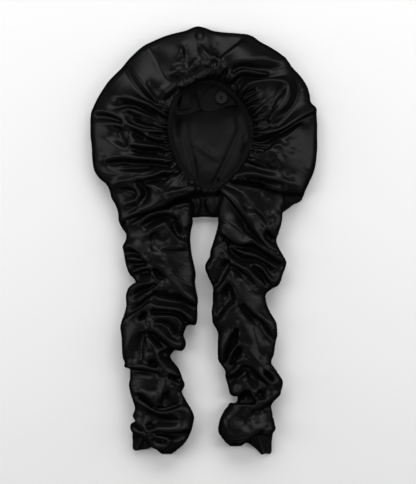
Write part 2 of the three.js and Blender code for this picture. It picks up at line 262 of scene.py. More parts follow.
# A cloth of threads let go: each step it falls a little, is drawn back a little to where it was
# placed, and then its threads, bends and diagonals are brought to their lengths in turn. Its first
# and last row stay
def relaxCloth(placed, restRound, restDown, steps, hold):
    free = np.ones(placed.shape[:2])
    free[[0, -1]] = 0
    x = placed.copy()
    speed = np.zeros_like(x)
    rows, columns = x.shape[:2]
    round2 = restRound + np.roll(restRound, -1, 1)
    down2 = restDown[:-1] + restDown[1:]
    beside = [np.roll(placed[1:], -side, 1) for side in (1, -1)]
    diagonal = [np.linalg.norm(aside - placed[:-1], axis=-1) for aside in beside]
    for _ in range(steps):
        speed[..., 2] -= cloth["gravity"]
        speed *= cloth["drag"]
        before = x.copy()
        x += speed * free[..., None]
        x += (placed - x) * (hold * free)[..., None]
        for _ in range(cloth["inner"]):
            for gap, rest, stiff in ((1, restRound, cloth["stretch"]), (2, round2, cloth["bend"])):
                for a, b in threadPairs(columns, gap, True):
                    ends = pullThreads(x[:, a], x[:, b], rest[:, a], stiff, free[:, a], free[:, b])
                    x[:, a], x[:, b] = ends
            for gap, rest, stiff in ((1, restDown, cloth["stretch"]), (2, down2, cloth["bend"])):
                for a, b in threadPairs(rows, gap, False):
                    x[a], x[b] = pullThreads(x[a], x[b], rest[a], stiff, free[a], free[b])
            for start in (0, 1):
                a = np.arange(start, rows - 1, 2)
                for side, slant in zip((1, -1), diagonal):
                    aside = np.roll(x[a + 1], -side, 1)
                    freeAside = np.roll(free[a + 1], -side, 1)
                    x[a], aside = pullThreads(x[a], aside, slant[a], cloth["shear"], free[a], freeAside)
                    x[a + 1] = np.roll(aside, side, 1)
        x[..., 2] = np.maximum(x[..., 2], np.minimum(cloth["floor"], before[..., 2]))
        speed = x - before
        speed *= np.minimum(1, cloth["fastest"] / (np.linalg.norm(speed, axis=-1, keepdims=True) + tiny))
    return x


# Meshes

# A mesh from points in millimetres and patches of faces. A patch holds its faces' corners, their
# places on the cloth, and for each face whether it takes the second material. All faces are turned
# over if the volume that they enclose comes out negative
def meshFrom(name, points, patches, looks):
    volume = 0
    for corners, _, _ in patches:
        for k in range(1, corners.shape[1] - 1):
            near, far = points[corners[:, k]], points[corners[:, k + 1]]
            volume += (np.cross(points[corners[:, 0]], near) * far).sum()
    turn = 1 if volume > 0 else -1
    corners = np.concatenate([patch[0][:, ::turn].ravel() for patch in patches])
    spots = np.concatenate([patch[1][:, ::turn].reshape(-1, 2) for patch in patches])
    second = np.concatenate([patch[2] for patch in patches])
    sizes = np.concatenate([np.full(len(patch[0]), patch[0].shape[1]) for patch in patches])
    mesh = bpy.data.meshes.new(name)
    mesh.vertices.add(len(points))
    mesh.vertices.foreach_set("co", (points * mm).astype(np.float32).ravel())
    mesh.loops.add(len(corners))
    mesh.loops.foreach_set("vertex_index", corners.astype(np.int32))
    mesh.polygons.add(len(sizes))
    mesh.polygons.foreach_set("loop_start", (np.cumsum(sizes) - sizes).astype(np.int32))
    mesh.polygons.foreach_set("material_index", second.astype(np.int32))
    mesh.polygons.foreach_set("use_smooth", np.ones(len(sizes), bool))
    for look in looks:
        mesh.materials.append(look)
    mesh.uv_layers.new(name="cloth").data.foreach_set("uv", spots.astype(np.float32).ravel())
    mesh.update(calc_edges=True)
    mesh.validate()
    piece = bpy.data.objects.new(name, mesh)
    bpy.context.scene.collection.objects.link(piece)
    return piece


# Rows and columns of the four corners of each face of a grid
def gridCorners(rows, columns):
    i, j = np.meshgrid(np.arange(rows), np.arange(columns), indexing="ij")
    row = np.stack([i, i, i + 1, i + 1], -1).reshape(-1, 4)
    column = np.stack([j, j + 1, j + 1, j], -1).reshape(-1, 4)
    return row, column


# A grid whose columns go round. Its rows go round too if it is looped, and otherwise each end is
# closed by a fan about its row's mean. Faces from the row inside on take the second material
def gridMesh(name, grid, looks, step, inside=None, looped=False):
    rows, columns = grid.shape[:2]
    inside = rows if inside is None else inside
    points = grid.reshape(-1, 3)
    row, column = gridCorners(rows if looped else rows - 1, columns)
    faces = row % rows * columns + column % columns
    patches = [(faces, np.stack([column, row], -1) * step, row[:, 0] >= inside)]
    side = np.arange(columns)
    for at, turn in () if looped else ((0, 1), (rows - 1, -1)):
        pair = np.stack([side + 1, side], -1)[:, ::turn]
        corners = np.concatenate([at * columns + pair % columns, np.full((columns, 1), len(points))], 1)
        across = np.concatenate([pair, side[:, None] + 0.5], 1)
        spots = np.stack([across, np.full((columns, 3), at) - [0, 0, turn]], -1) * step
        patches.append((corners, spots, np.full(columns, at >= inside)))
        points = np.concatenate([points, grid[at].mean(0)[None]])
    return meshFrom(name, points, patches, looks)


# A piece of cloth from the grids of its upper and its under side, joined by a wall round its edge.
# The under side takes the second material
def sheetMesh(name, top, bottom, looks, step):
    rows, columns = top.shape[:2]
    count = rows * columns
    row, column = gridCorners(rows - 1, columns - 1)
    faces = row * columns + column
    spots = np.stack([column, row], -1) * step
    index = np.arange(count).reshape(rows, columns)
    rim = np.concatenate([index[0, :-1], index[:-1, -1], index[-1, :0:-1], index[:0:-1, 0]])
    beside = np.roll(rim, -1)
    wall = np.stack([beside, rim, rim + count, beside + count], -1)
    wallSpots = np.stack([wall % columns, wall % count // columns], -1) * step
    plain = np.zeros(len(faces), bool)
    patches = [
        (faces, spots, plain),
        (faces[:, ::-1] + count, spots[:, ::-1], ~plain),
        (wall, wallSpots, np.zeros(len(wall), bool)),
    ]
    return meshFrom(name, np.concatenate([top.reshape(-1, 3), bottom.reshape(-1, 3)]), patches, looks)


# Places a finished piece: it moves with the root body and stands for its solid. Its slot is not used
def place(piece, slot, *nodes):
    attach(piece, "root")
    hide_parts(*nodes)
    return piece


# Materials

# A socket of a material's nodes. Arithmetic on it adds Math nodes
class Value:
    def __init__(self, look, socket):
        self.look = look
        self.socket = socket

    def math(self, kind, *rest):
        return self.look.node("ShaderNodeMath", {"operation": kind}, dict(enumerate(rest)))

    def __add__(self, other):
        return self.math("ADD", self, other)

    __radd__ = __add__

    def __mul__(self, other):
        return self.math("MULTIPLY", self, other)

    __rmul__ = __mul__


# A material: its shader's fixed values by name, and nodes added one at a time
class Look:
    def __init__(self, name, fixed):
        self.material = bpy.data.materials.new(name)
        self.material.use_nodes = True
        self.tree = self.material.node_tree
        self.shader = self.tree.nodes["Principled BSDF"]
        for socket, value in fixed.items():
            self.shader.inputs[socket].default_value = value

    def feed(self, socket, value):
        if isinstance(value, Value):
            self.tree.links.new(value.socket, socket)
        else:
            socket.default_value = value

    def node(self, kind, settings=None, inputs=None, output=0):
        made = self.tree.nodes.new(kind)
        for key, value in (settings or {}).items():
            setattr(made, key, value)
        for key, value in (inputs or {}).items():
            self.feed(made.inputs[key], value)
        return Value(self, made.outputs[output])

    # One pattern: noise or bands, on the cloth's own places or the object's, stretched if it says so
    def pattern(self, made):
        if made["on"] == "cloth":
            place = self.node("ShaderNodeUVMap", {"uv_map": "cloth"})
        else:
            place = self.node("ShaderNodeTexCoord", output=3)
        if "stretch" in made:
            inputs = {0: place, 1: made["stretch"]}
            place = self.node("ShaderNodeVectorMath", {"operation": "MULTIPLY"}, inputs)
        if "noise" in made:
            scale, detail = made["noise"]
            inputs = {"Vector": place, "Scale": scale, "Detail": detail}
            return self.node("ShaderNodeTexNoise", {}, inputs)
        scale, direction, wobble = made["bands"]
        settings = {"wave_type": "BANDS", "bands_direction": direction}
        inputs = {"Vector": place, "Scale": scale, "Distortion": wobble, "Detail": 1.0}
        return self.node("ShaderNodeTexWave", settings, inputs, output=1)

    def shade(self, amount, dark, light):
        return self.node("ShaderNodeMix", {"data_type": "RGBA"}, {0: amount, 6: dark, 7: light}, output=2)

    def bump(self, height, strength, distance):
        inputs = {"Height": height, "Strength": strength, "Distance": distance}
        self.feed(self.shader.inputs["Normal"], self.node("ShaderNodeBump", {}, inputs))


# Woven threads hide one another towards a grazing view, so cloth doesn't gleam at its outline as a
# moulding does: its sheen is the share of a metallic lobe, whose tint at the edge is nought
def clothGloss(sheen):
    return {"Metallic": sheen, "Specular IOR Level": 0, "Specular Tint": (0, 0, 0, 1)}


# Each finish: its darkest and lightest colour, its sheen, or its gloss if it is no cloth, its least
# roughness, its bump's strength and depth in metres, and its patterns. A pattern is noise with a scale
# and detail, or bands with a scale, direction and wobble, and says what share of it goes into the
# colour, the roughness and the height of the bump
finishes = {
    # long floats lie side by side, worn-in patches are a little rougher and lighter, and fine creases
    # run down from the gathers
    "satin": {
        "dark": (0.0100, 0.0100, 0.0102, 1),
        "light": (0.0150, 0.0150, 0.0153, 1),
        "sheen": 0.8,
        "roughness": 0.28,
        "bump": (0.5, 0.00045),
        "patterns": [
            {"noise": (18, 4), "on": "object", "colour": 0.7, "rough": 0.08},
            {"noise": (420, 2), "on": "object", "colour": 0.3, "rough": 0.05, "height": 0.0667},
            {"bands": (130, "X", 0.6), "on": "cloth", "height": 0.04},
            {"noise": (1, 2), "on": "cloth", "stretch": (210, 34, 1), "height": 1},
        ],
    },
    # the satin's wrong side: duller, with the weave's ribs across it
    "satin_lining": {
        "dark": (0.0105, 0.0105, 0.0107, 1),
        "light": (0.016, 0.016, 0.0163, 1),
        "sheen": 0.35,
        "roughness": 0.44,
        "bump": (0.4, 0.00005),
        "patterns": [
            {"bands": (45, "Y", 0.4), "on": "cloth", "height": 0.5},
            {"noise": (500, 2), "on": "object", "rough": 0.12, "height": 0.5},
            {"noise": (25, 3), "on": "object", "colour": 1},
        ],
    },
    # ribs run along the knitted band, with small stitches across them. The ribs' bands also set the
    # colour, so their grooves are a painted shade, darker than the rib tops
    "elastic_knit": {
        "dark": (0.004, 0.004, 0.0041, 1),
        "light": (0.009, 0.009, 0.0092, 1),
        "sheen": 0.25,
        "roughness": 0.6,
        "bump": (0.5, 0.00012),
        "patterns": [
            # the rib bands lighten the colour on the ribs and darken it in the grooves between them:
            # painted shade
            {"bands": (42, "Y", 0), "on": "cloth", "colour": 0.6, "height": 1},
            {"bands": (30, "X", 0.8), "on": "cloth", "height": 0.4},
            {"noise": (700, 2), "on": "object", "colour": 0.4, "rough": 0.15, "height": 0.3},
        ],
    },
    # a tight plain weave, matte
    "flap_facing": {
        "dark": (0.005, 0.005, 0.0053, 1),
        "light": (0.010, 0.010, 0.0105, 1),
        "sheen": 0.3,
        "roughness": 0.55,
        "bump": (0.4, 0.00008),
        "patterns": [
            {"bands": (70, "X", 0.5), "on": "object", "height": 0.5},
            {"bands": (70, "Y", 0.5), "on": "object", "height": 0.5},
            {"noise": (600, 2), "on": "object", "colour": 1, "rough": 0.12, "height": 0.5},
        ],
    },
    # moulded and glossy, with a faint orange peel and fine scuffs
    "button_plastic": {
        "dark": (0.010, 0.010, 0.0102, 1),
        "light": (0.018, 0.018, 0.0183, 1),
        "gloss": 0.07,
        "roughness": 0.32,
        "bump": (0.12, 0.0001),
        "patterns": [
            {"noise": (260, 2), "on": "object", "colour": 1, "rough": 0.1, "height": 1},
            {"noise": (1500, 4), "on": "object", "rough": 0.12, "height": 0.2},
        ],
    },
    # twisted from slanting plies. The plies' bands also set the colour, so the grooves between plies are
    # a painted shade
    "sewing_thread": {
        "dark": (0.006, 0.006, 0.0063, 1),
        "light": (0.018, 0.018, 0.019, 1),
        "sheen": 0.3,
        "roughness": 0.45,
        "bump": (0.5, 0.00006),
        "patterns": [
            # the ply bands darken the colour in the grooves between plies and lighten it on their crests:
            # painted shade
            {"bands": (120, "DIAGONAL", 0), "on": "cloth", "colour": 1, "height": 1},
            {"noise": (1800, 2), "on": "object", "rough": 0.2, "height": 0.3},
        ],
    },
}


# The material of one finish. What each use gets is the sum of its patterns times their shares
def makeLook(name):
    finish = finishes[name]
    gloss = clothGloss(finish["sheen"]) if "sheen" in finish else {"Specular IOR Level": finish["gloss"]}
    look = Look(name, gloss)
    sums = {}
    for made in finish["patterns"]:
        value = look.pattern(made)
        for use in ("colour", "rough", "height"):
            if use in made:
                part = value if made[use] == 1 else value * made[use]
                sums[use] = sums[use] + part if use in sums else part
    shader = look.shader.inputs
    look.feed(shader["Base Color"], look.shade(sums["colour"], finish["dark"], finish["light"]))
    look.feed(shader["Roughness"], sums["rough"] + finish["roughness"])
    look.bump(sums["height"], *finish["bump"])
    return look.material


satinCloth = makeLook("satin")
liningCloth = makeLook("satin_lining")
elasticKnit = makeLook("elastic_knit")
flapCloth = makeLook("flap_facing")
buttonPlastic = makeLook("button_plastic")
sewingThread = makeLook("sewing_thread")
report("materials")

# Cap

cap = {
    "centre": (0, 178),
    "opening": (7, 160),
    "crest": 50,
    "cloth": 1.2,
    "columns": 500,
    "rows": 84,
    "sectionSize": (100, 50),  # width and height that the rows are spaced for
    "spread": 1.2,  # packs the rows towards the opening
    "steady": 8,  # how often the way that the folds rise is smoothed
    "startRows": (-1, 4),  # the folds grow over these rows
    "under": (0.08, 0.25, 0.5, 0.75),  # shares of the way out where the underside has rows
    "innerFloor": 2.6,
    "floorRows": 66,
    "floorShares": (0.93, 0.03),  # from the wall to the middle
    "floorReach": 120,
    "floorDip": -1,
    "shelf": 0.42,  # share of the height left where the sleeves lie on the cap
    "shelfEdge": (-6, 12),  # the height drops over this stretch about the seam
    "laps": 40,
    "lapUneven": 0.9,
    "lapSeed": 23,
    "gathers": 62,
    "gatherHigh": 1.9,
    "gatherSeed": 7,
    "gatherWidths": (0.45, 1.1),  # narrowest pleat, and how much wider they get
    "gatherLengths": (0.06, 0.34),  # shares of the way out over which they die away
    "gatherHighs": (0.5, 1.5),
    "spare": 0.9,  # extra cloth round the opening's edge
    "spareReach": 0.14,
    "steps": 50,
    "hold": 0.03,
    "weave": (0.0016, 0.002),  # size in metres of a step round and down, for the finish
}

# Outline of the cap round its centre: degrees from +X, reach
capOutline = [
    (0, 169.5), (4, 169.5), (7.5, 169), (10.5, 163), (15, 163.5), (19, 164), (23, 163), (28, 161),
    (33, 157), (38.5, 153), (44, 151), (49, 149), (56, 147), (61, 148.5), (66, 147.5), (69, 145),
    (76, 140), (80.5, 138.5), (85.5, 139), (90, 142.5), (94.5, 145), (98, 143.5), (101, 141.5),
    (108.5, 141.5), (114.5, 143), (121, 145), (128.5, 148.5), (136, 148.5), (141.5, 149),
    (146.5, 150.5), (151.5, 153.5), (157.5, 158), (162.5, 161), (167.5, 164.5), (172.5, 167),
    (177.5, 169), (182.5, 170), (191.5, 172), (198.5, 177), (203.5, 180), (208, 178), (212, 174),
    (215.5, 175), (219, 180), (223, 183), (226, 188), (229, 197), (233, 203), (236, 204), (240, 176),
    (245, 152), (255, 145), (264, 142), (277, 142), (286, 144), (299, 157), (308, 176), (314, 180),
    (317, 181), (321, 185.5), (325, 182), (330, 180), (334, 179.5), (339, 177.5), (345, 174),
    (355, 169.5),
]

# Where the cap's top meets the sleeves and the nape panel: degrees, reach. Beyond it the cloth lies low
capSeam = [
    (0, 400), (218, 400), (227, 230), (231, 190), (233, 165), (236, 147), (240, 138), (244, 124),
    (250, 112), (257, 104), (263, 102), (270, 102), (277, 102), (284, 98), (291, 94), (300, 103),
    (307, 114), (313, 127), (318, 146), (323, 172), (327, 230), (336, 400),
]

# Edge of the face opening round its own centre: degrees, reach
openingEdge = [
    (0, 68), (30, 68), (60, 74), (90, 83), (120, 82), (150, 71), (180, 64), (210, 64), (240, 73),
    (270, 84), (300, 73), (330, 66),
]


# Points round the opening in plan, a distance in from its edge
def openingPoints(angle, inset):
    reach = through(angle, *zip(*openingEdge), 360) - inset
    return np.array(cap["opening"]) + reach[..., None] * spokes(np.radians(angle))


# How far the satin laps over the band: degrees, reach
capLap = [
    (0, 1.0), (30, 0.8), (60, 1.2), (78, 1.0), (88, 2.5), (96, 4.5), (106, 5.5), (118, 6), (126, 4.5),
    (134, 1.5), (150, 0.8), (180, 1.0), (210, 1.2), (240, 1.5), (270, 1.2), (300, 1.5), (330, 1.0),
]


# The lap's own line plus a smooth one through a few random values
def overlap(angle):
    random = np.random.default_rng(cap["lapSeed"])
    marks = np.arange(0, 360, 360 / cap["laps"])
    uneven = cap["lapUneven"] * random.uniform(-1, 1, len(marks))
    return through(angle, *zip(*capLap), 360) + through(angle, marks, uneven, 360)


# Section of the cap from the opening to the floor: share of the way out, share of the crest's height
capSection = [
    (0.0, 0.62), (0.03, 0.70), (0.08, 0.80), (0.18, 0.92), (0.32, 0.97), (0.5, 0.92), (0.7, 0.80),
    (0.85, 0.66), (0.94, 0.54), (0.985, 0.39), (1.0, 0.23), (0.985, 0.08), (0.94, 0.012),
]

# The cap's folds, from the opening outwards: height of the crest, or depth of the valley, and its points
capFolds = [
    (-2.5, (-14, 312), (-16, 304), (-12, 298), (-4, 297), (1, 302), (0.5, 311)),
    (-3, (-9, 293), (-12, 284), (-11, 274)),
    (2.5, (-34, 286), (-34, 275)),
    (-6, (-29, 289), (-29.5, 276), (-28, 262), (-27, 252)),
    (5, (-37, 229), (-31, 233), (-24, 237.5), (-14, 241)),
    (5, (-15, 243), (-5, 246.5), (5, 251), (13, 257)),
    (-1.5, (-30, 240), (-22, 243), (-8, 250), (4, 256)),
    (7, (4.5, 259.5), (10.5, 270), (18, 272), (23, 265.5), (21, 258), (13.5, 256)),
    (0.5, (13, 264), (16, 263)),
    (4.5, (19, 246), (26, 253), (33, 262)),
    (-4, (25, 243), (33, 254)),
    (4.5, (31, 242), (38, 251)),
    (-5, (11, 284), (17.5, 296), (24, 306)),
    (-7, (19, 272), (34, 287), (47.5, 299), (57.5, 309)),
    (6, (24, 269), (44, 284), (56, 294)),
    (6, (34, 261), (47.5, 266), (61, 267), (78, 270), (94, 270), (105, 267), (118, 271)),
    (-7, (41, 251), (51, 257), (61, 259), (74, 256), (98, 256), (117, 257)),
    (6, (37.5, 239), (47.5, 249), (57.5, 252), (67.5, 251), (77, 248), (92, 246)),
    (-8, (41, 231), (51, 241), (61, 244), (74, 241.5), (88, 242), (105, 246), (118, 249)),
    (9, (55.8, 217), (62.5, 231), (75, 236), (94, 238.5), (114, 238.5), (121, 234)),
    (7, (121, 235), (123, 224), (121, 211.5), (111.5, 199), (101, 186), (95.5, 179)),
    (-5, (115, 227), (106, 211), (96, 195)),
    (3, (111, 212), (103, 198)),
    (4, (62, 222), (73, 227.5), (82, 225.5)),
    (-4, (62, 217), (73, 223)),
    (4, (62, 211.5), (71, 219.5), (82, 220)),
    (-4, (63, 207), (73, 215.5)),
    (4, (64, 204.5), (75, 212), (84, 214)),
    (-4, (65.5, 201), (77, 206)),
    (3.5, (66.5, 198.5), (77, 202), (86, 201)),
    (-6, (131, 259), (141.5, 244), (143.5, 224), (137, 203), (124, 186), (107, 171)),
    (-6, (88, 190), (92, 171)),
    (8, (73, 154), (86, 159), (101, 160), (109, 162), (126.5, 173),
        (141.5, 184), (152, 190), (160, 194)),
    (-9, (73, 143), (94, 151.5), (105, 158), (122, 166.5), (143.5, 179.5), (155, 185.5), (164, 188)),
    (4.5, (120, 149.5), (133, 162), (142, 171)),
    (2.5, (130, 134.5), (139, 137), (147, 138.5)),
    (2, (150, 107.5), (158, 111.5)),
    (2, (122, 95), (130, 98.5)),
    (7, (66.5, 119.5), (79, 122.5), (92, 132), (103, 141), (110.5, 143),
        (116, 134.5), (119, 121.5), (118, 112), (111.5, 110)),
    (-5, (74, 124.5), (90, 137), (101, 146)),
    (3, (88, 122.5), (94.5, 121.5), (101, 111)),
    (-5, (64, 113), (81.5, 108.5), (103, 104.5)),
    (7, (47, 97), (67, 99.5), (83, 97), (105, 92), (126, 87.5), (137, 83), (141, 76)),
    (-5, (49, 90.5), (73, 88), (94, 86), (112, 81)),
    (5, (94, 80), (109, 81), (112.5, 74.5), (107, 68)),
    (-8, (-39, 234), (-58, 240), (-71, 262), (-76, 275), (-88, 290)),
    (-4, (-38, 229), (-50, 217), (-62, 203)),
    (-5, (-82, 230), (-78, 222), (-66, 203)),
    (5, (-70, 205), (-96, 242), (-113, 264)),
    (-5, (-62, 200), (-90, 212), (-108, 233), (-122, 258)),
    (6, (-61, 188), (-78, 200), (-98, 208), (-121, 215), (-141, 218)),
    (-4, (-63, 184), (-80, 192.5), (-95, 200)),
    (-8, (-64, 178), (-84, 189), (-98, 197), (-111, 202), (-121, 202), (-130, 199)),
    (6, (-61, 169), (-70, 178), (-82, 185), (-98, 192), (-114, 196), (-130, 192)),
    (-4, (-112, 189), (-113, 181), (-98, 172), (-78, 169)),
    (-4, (-158, 186), (-136, 182.5), (-125, 176)),
    (6, (-166, 191), (-151, 194), (-136, 189), (-123, 181), (-111, 171), (-91, 162.5), (-86, 161)),
    (6, (-86, 161), (-70, 161.5), (-60, 158)),
    (-5, (-82, 158), (-64, 155.5)),
    (6, (-85.5, 161), (-85, 155.5), (-68, 151), (-60, 149)),
    (5, (-166, 180), (-154, 176.5), (-134, 174), (-118, 170), (-112, 167)),
    (-6, (-129.5, 167), (-130, 153), (-118, 144)),
    (-10, (-104, 161), (-96, 155), (-90, 151.5)),
    (-8, (-88, 150), (-70, 145), (-61, 143)),
    (7, (-109, 153), (-112, 144), (-101, 141.5), (-84, 141), (-68, 139), (-57, 135)),
    (-9, (-105, 137), (-91, 131), (-76, 134), (-60, 131)),
    (5, (-166, 156), (-151, 152), (-134, 142), (-118, 134), (-100, 128)),
    (8, (-146, 119), (-138, 123), (-121, 125.5), (-101, 124), (-81, 121), (-64, 118), (-47, 117)),
    (5, (-160, 129), (-155, 131), (-149.5, 131), (-145, 122)),
    (4, (-160, 124), (-154, 122), (-149.5, 117)),
    (-9, (-144, 116), (-118, 116), (-98, 113), (-78, 115), (-52, 112)),
    (-7, (-126, 109), (-100, 106), (-70, 108)),
    (3, (-158, 102), (-126, 99), (-93, 102), (-70, 104)),
    (8, (-137, 84), (-130, 88.5), (-118, 91.5), (-98, 92), (-78, 95),
        (-71, 99), (-64, 104), (-58, 100.5), (-43, 105)),
    (-8, (-91, 86), (-68, 94), (-40, 96)),
    (-9, (-98, 87), (-91, 76), (-86, 72), (-94, 59)),
    (7, (-124, 80), (-117, 82), (-108, 82), (-98, 77), (-96, 69), (-99, 61), (-108, 57), (-118, 55)),
    (-6, (-124, 76), (-111, 75.5), (-103, 69)),
    (8, (-90, 86), (-78, 82), (-68, 76), (-58, 68), (-61, 60), (-69, 56), (-88, 52), (-101, 45)),
    (7, (-58, 69), (-48, 72), (-34, 74), (-25, 79), (-12, 80)),
    (-6, (-50, 84), (-36, 82), (-20, 86)),
    (-5, (-102, 52), (-113, 48)),
    (4, (-13, 66), (-9, 56), (-13, 46), (-20, 38)),
    (4, (8, 64), (3, 55), (9, 46), (18, 40)),
    (-3, (-4, 66), (-3, 55), (1, 44)),
]

# Puffs of the cap: middle, two half widths, turn in degrees, height
capPuffs = [
    (-7.5, 307, 13, 9, 90, 3.2),
    (-2.5, 281, 16, 8, -55, 4.2),
    (-40, 252, 17, 13, 30, 5),
    (-16, 261, 14, 9, 65, 5),
    (-57, 221, 20, 13, 25, 4),
    (-94.5, 184, 16, 9, -40, 2.5),
    (79, 179.5, 10, 5, 80, 2.5),
    (106, 122, 18, 10, -65, 4),
    (73, 132, 8, 5, 50, 3.5),
    (128.5, 69, 12, 5, 0, 2),
]

# Folds of the cloth inside, seen through the opening: a smooth back panel between two creases, and
# the strips beside it that rise to the band
floorFolds = [
    (-1, (47.5, 184), (52.5, 169), (39, 141), (26, 112), (12.5, 86)),
    (6, (54, 184), (59, 168), (45.5, 138), (32.5, 109), (19, 84)),
    (5, (42, 184), (46, 170), (33.5, 143), (21, 114), (8, 90)),
    (-1, (-27.5, 177), (-26, 149), (-16, 116), (-14, 92)),
    (6, (-34, 178), (-32.5, 149), (-22.5, 114), (-20, 90)),
    (5, (-21, 178), (-20, 150), (-10, 118), (-8, 94)),
    (6.2, (-17, 148), (-4, 136.5), (11, 127), (25, 121)),
    (3, (-18, 140), (-4, 129.5), (11, 120), (22, 115)),
    (5, (-8, 108), (4, 106), (16, 104)),
    (7, (60, 194), (66, 164), (54, 131), (38, 103), (24, 84)),
    (1, (53, 168), (62, 150), (57, 133)),
    (7, (-54, 182), (-50, 150), (-36, 115), (-22, 90)),
    (1, (-43, 181), (-47, 172), (-42, 166), (-46, 158)),
    (1, (42.5, 199), (42.5, 191)),
]


# The cap without its folds: each column runs from the opening's edge straight out to the outline, as
# high as the section says, and low beyond the seam
def capEnvelope():
    angle = np.arange(cap["columns"]) * 360 / cap["columns"]
    reach = through(angle, *zip(*capOutline), 360)[:, None]
    outer = np.array(cap["centre"]) + reach * spokes(np.radians(angle))
    inner = openingPoints(angle, overlap(angle))
    size = cap["sectionSize"]
    profile = alongProfile(np.array(capSection) * size, cap["rows"], cap["spread"]) / size
    plan = inner + (outer - inner) * profile[:, :1, None]
    past = np.linalg.norm(plan - cap["centre"], axis=-1) - np.interp(angle, *zip(*capSeam))
    beyond = easeIn(past, *cap["shelfEdge"])
    high = profile[:, 1:] * cap["crest"] * (1 - (1 - cap["shelf"]) * beyond)
    return np.concatenate([plan, high[..., None]], -1), angle, profile


# How strongly the cloth is gathered round the opening: degrees, share of the full height
gatherAmount = [
    (0, 1.0), (30, 1.1), (48, 0.8), (60, 0.3), (78, 0.15), (95, 0.1), (125, 0.1), (148, 0.15),
    (156, 0.9), (165, 1.0), (200, 1.0), (225, 0.8), (245, 0.3), (262, 0.35), (278, 0.3), (292, 0.2),
    (304, 0.1), (314, 0.15), (324, 0.6), (340, 0.95),
]


# Fine pleats where the cloth is gathered on the elastic: a cosine round the edge whose waves are
# uneven in width and height, each dying away outwards over its own length
def rimGathers(angle, out):
    random = np.random.default_rng(cap["gatherSeed"])
    narrow, wider = cap["gatherWidths"]
    marks = unevenMarks(narrow + wider * random.random(cap["gathers"]), 360)
    lengths = random.uniform(*cap["gatherLengths"], len(marks))
    highs = random.uniform(*cap["gatherHighs"], len(marks))
    lengths[-1] = lengths[0]
    highs[-1] = highs[0]
    fade = np.exp(-out[:, None] / np.interp(angle, marks, lengths))
    high = cap["gatherHigh"] * np.interp(angle, marks, highs) * through(angle, *zip(*gatherAmount), 360)
    return high * np.cos(waveTurn(angle, marks)) * fade


# The satin cap: folds, puffs and gathers stand out from the plain form, the cloth settles, and the
# wall's inner side, the flat underside and the floor inside close it
def makeCap():
    smooth, angle, profile = capEnvelope()
    upRow = cap["rows"] // 3
    outward = facingUp(soften(smooth, cap["steady"]), upRow)
    folds = stretchSkin(smooth, *foldTargets(smooth, capFolds))
    relief = soften(folds + puffHeights(smooth, capPuffs), 1)
    start = easeIn(np.arange(cap["rows"]), *cap["startRows"])[:, None]
    placed = smooth + outward * (relief * start + rimGathers(angle, profile[:, 0]))[..., None]
    placed[..., 2] = np.maximum(placed[..., 2], cloth["floor"])
    report("cap folds")
    gathered = through(angle, *zip(*gatherAmount), 360)
    spare = 1 + cap["spare"] * gathered * np.exp(-profile[:, :1] / cap["spareReach"])
    restRound = np.maximum(stepRound(placed), stepRound(smooth) * spare)
    placed = relaxCloth(placed, restRound, stepDown(placed), cap["steps"], cap["hold"])
    report("cap cloth")
    inner = (placed - facingUp(placed, upRow) * cap["cloth"])[::2]
    inner[..., 2] = np.maximum(inner[..., 2], cap["innerFloor"])
    middle = np.array([*cap["opening"], 0.0])

    def level(edge, shares, high):
        return np.stack([middle + (edge - middle) * [s, s, 0] + [0, 0, high] for s in shares])

    under = level(placed[-1], cap["under"], cloth["floor"])
    floor = level(inner[-1], np.linspace(*cap["floorShares"], cap["floorRows"]), cap["innerFloor"])
    dents = stretchSkin(floor, *foldTargets(floor, floorFolds), reach=cap["floorReach"])
    floor[..., 2] += np.maximum(soften(dents, 2), cap["floorDip"])
    shell = np.concatenate([under, placed[::-1], inner, floor])
    looks = [satinCloth, liningCloth]
    piece = gridMesh("satin_cap", shell, looks, cap["weave"], len(under) + cap["rows"])
    place(piece, "satin", "cap")


makeCap()

# Sleeves

sleeve = {
    "columns": 230,
    "rows": 270,
    "cloth": 1.2,
    "sideHeight": 0.38,  # share of the height where a section is widest
    "topRound": 0.7,  # under 1 is fuller than an ellipse
    "underside": 1.8,  # how steeply the sides come down to the floor
    "steps": 40,
    "hold": 0.03,
    "spare": 1.02,
    "relief": 1.3,
    "tallest": 10,  # what the folds' height levels off towards
    "foldsDownTo": -0.25,  # folds reach this sine round the section, a little below its widest place
    "weave": (0.0014, 0.0017),
}

# Sections of each sleeve: y at its middle, left and right edge, height, and how far it leans across
leftRows = [
    (68, -121, -12, 27, 0.40), (54, -122, -20, 36, 0.36), (40, -121, -24, 38, 0.28),
    (26, -119, -25, 38, 0.2), (6, -117, -24, 37, 0.1), (-8, -119, -22, 38, 0.04),
    (-20, -120, -20, 38, 0), (-38, -118, -16, 37, 0), (-50, -113, -14, 36, 0), (-62, -103, -15, 35, 0),
    (-72, -111, -14, 36, 0), (-82, -116, -12, 37, 0), (-98, -118, -12, 37, 0), (-112, -121, -13, 36, 0),
    (-124, -123, -18, 37, 0), (-138, -124, -34, 36, 0), (-156, -123, -33, 36, 0),
    (-166, -121, -42, 35, 0), (-174, -119, -47, 34, 0), (-182, -117, -44, 34, 0),
    (-192, -115, -39, 35, 0), (-206, -113, -35, 34, 0), (-216, -114, -33, 34, 0),
    (-226, -112, -36, 33, 0), (-238, -108, -30, 34, 0), (-252, -104, -23, 36, 0),
    (-264, -106, -20, 37, 0), (-276, -109, -20, 37, 0), (-284, -108, -21, 36, 0),
    (-290, -98, -23, 35, 0), (-297, -85, -26, 33, 0), (-305, -79, -32, 29, 0), (-314, -72, -42, 22, 0),
    (-320, -66, -49, 13, 0),
]
